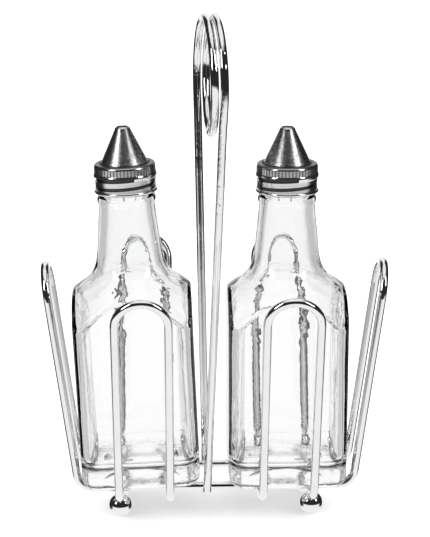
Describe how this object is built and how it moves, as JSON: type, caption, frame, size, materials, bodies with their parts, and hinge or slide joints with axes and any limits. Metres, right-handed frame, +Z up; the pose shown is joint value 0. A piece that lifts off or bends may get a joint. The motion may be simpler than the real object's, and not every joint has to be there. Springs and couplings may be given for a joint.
{
  "type": "cruet set",
  "caption": "Welded chrome wire rack with ball feet and a coiled ring handle, holding square glass bottles with screw-on steel pouring caps.",
  "frame": {"origin": "on the table plane, at the middle of the rack's footprint", "axes": "+Z up, +X along the row of bottles, -Y towards the front"},
  "size_m": [0.166, 0.127, 0.2439],
  "materials": {
    "chrome_wire": "bright chrome plate on steel wire",
    "chrome_ball": "bright chrome plate on a steel ball",
    "clear_glass": "clear, thick pressed glass",
    "plated_collar": "bright plated thin sheet",
    "satin_steel": "lathe-brushed satin",
    "seal": "matt"
  },
  "bodies": {
    "rack": {"frame_wire": "chrome_wire", "hairpin_wire_left": "chrome_wire", "hairpin_wire_right": "chrome_wire", "handle_wire": "chrome_wire", "ball_foot_front_left": "chrome_ball", "ball_foot_front_right": "chrome_ball", "ball_foot_rear_left": "chrome_ball", "ball_foot_rear_right": "chrome_ball"},
    "bottle_left_body": {"bottle_left": "clear_glass"},
    "spout_left_body": {"spout_left": "satin_steel", "gasket_left": "seal"},
    "collar_left_body": {"collar_left": "plated_collar"},
    "bottle_right_body": {"bottle_right": "clear_glass"},
    "spout_right_body": {"spout_right": "satin_steel", "gasket_right": "seal"},
    "collar_right_body": {"collar_right": "plated_collar"}
  },
  "joints": [
    {"name": "bottle_left_lift", "type": "slide", "parent": "rack", "child": "bottle_left_body", "axis": [-0.0401, 0, 0.9992], "range_m": [0, 0.115]},
    {"name": "cap_left_rise", "type": "slide", "parent": "bottle_left_body", "child": "spout_left_body", "axis": [-0.0401, 0, 0.9992], "range_m": [0, 0.012]},
    {"name": "cap_left_turn", "type": "hinge", "parent": "spout_left_body", "child": "collar_left_body", "pos_m": [-0.04204, 0, 0.16835], "axis": [-0.0401, 0, 0.9992], "range_deg": [0, 1080]},
    {"name": "bottle_right_lift", "type": "slide", "parent": "rack", "child": "bottle_right_body", "axis": [0, 0, 1], "range_m": [0, 0.115]},
    {"name": "cap_right_rise", "type": "slide", "parent": "bottle_right_body", "child": "spout_right_body", "axis": [0, 0, 1], "range_m": [0, 0.012]},
    {"name": "cap_right_turn", "type": "hinge", "parent": "spout_right_body", "child": "collar_right_body", "pos_m": [0.0345, 0, 0.16757], "axis": [0, 0, 1], "range_deg": [0, 1080]}
  ],
  "couplings": [
    {"joint": "cap_left_rise", "follows": "cap_left_turn", "m_per_rad": 0.00063662},
    {"joint": "cap_right_rise", "follows": "cap_right_turn", "m_per_rad": 0.00063662}
  ]
}
